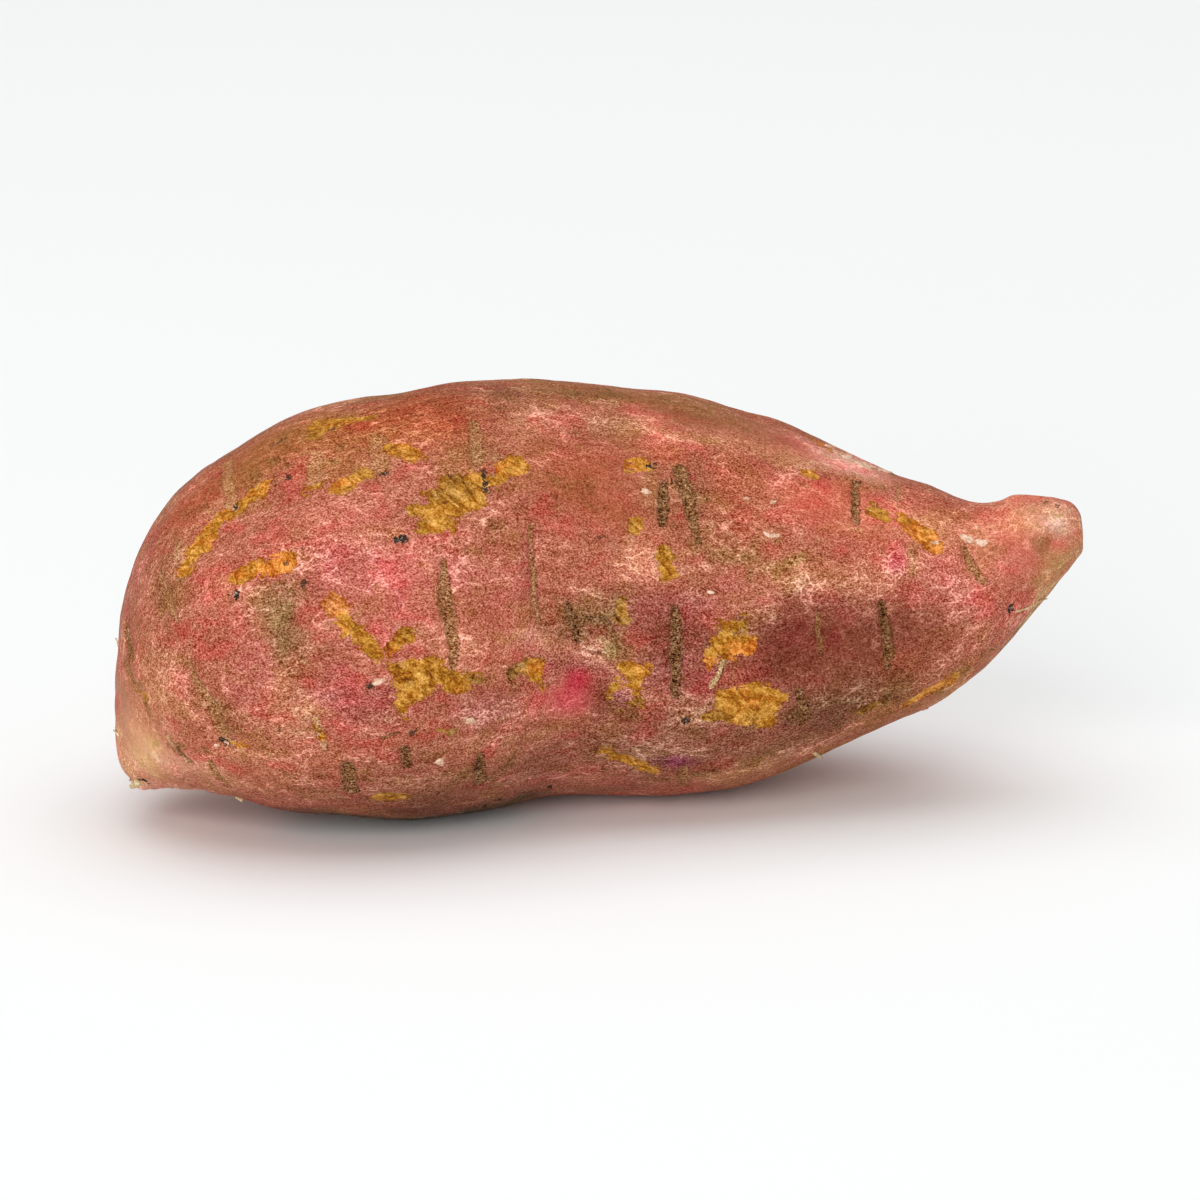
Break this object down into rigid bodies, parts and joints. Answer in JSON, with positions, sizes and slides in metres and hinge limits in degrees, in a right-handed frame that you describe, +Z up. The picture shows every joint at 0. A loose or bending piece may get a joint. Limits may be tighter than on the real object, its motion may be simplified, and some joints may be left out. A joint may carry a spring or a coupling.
{
  "type": "sweet potato",
  "caption": "Whole raw sweet potato lying on its side: a plump tapered storage root with a broken tail at one end and a broken stem end at the other.",
  "frame": {"origin": "on the surface that the root rests on, under the middle of its bounding box", "axes": "+X along the root from its tail to its stem end, -Y towards the side that the picture shows, +Z up"},
  "size_m": [0.17, 0.0858, 0.0755],
  "materials": {
    "skin": "matte"
  },
  "bodies": {
    "root": {"sweet_potato": "skin"}
  },
  "joints": []
}
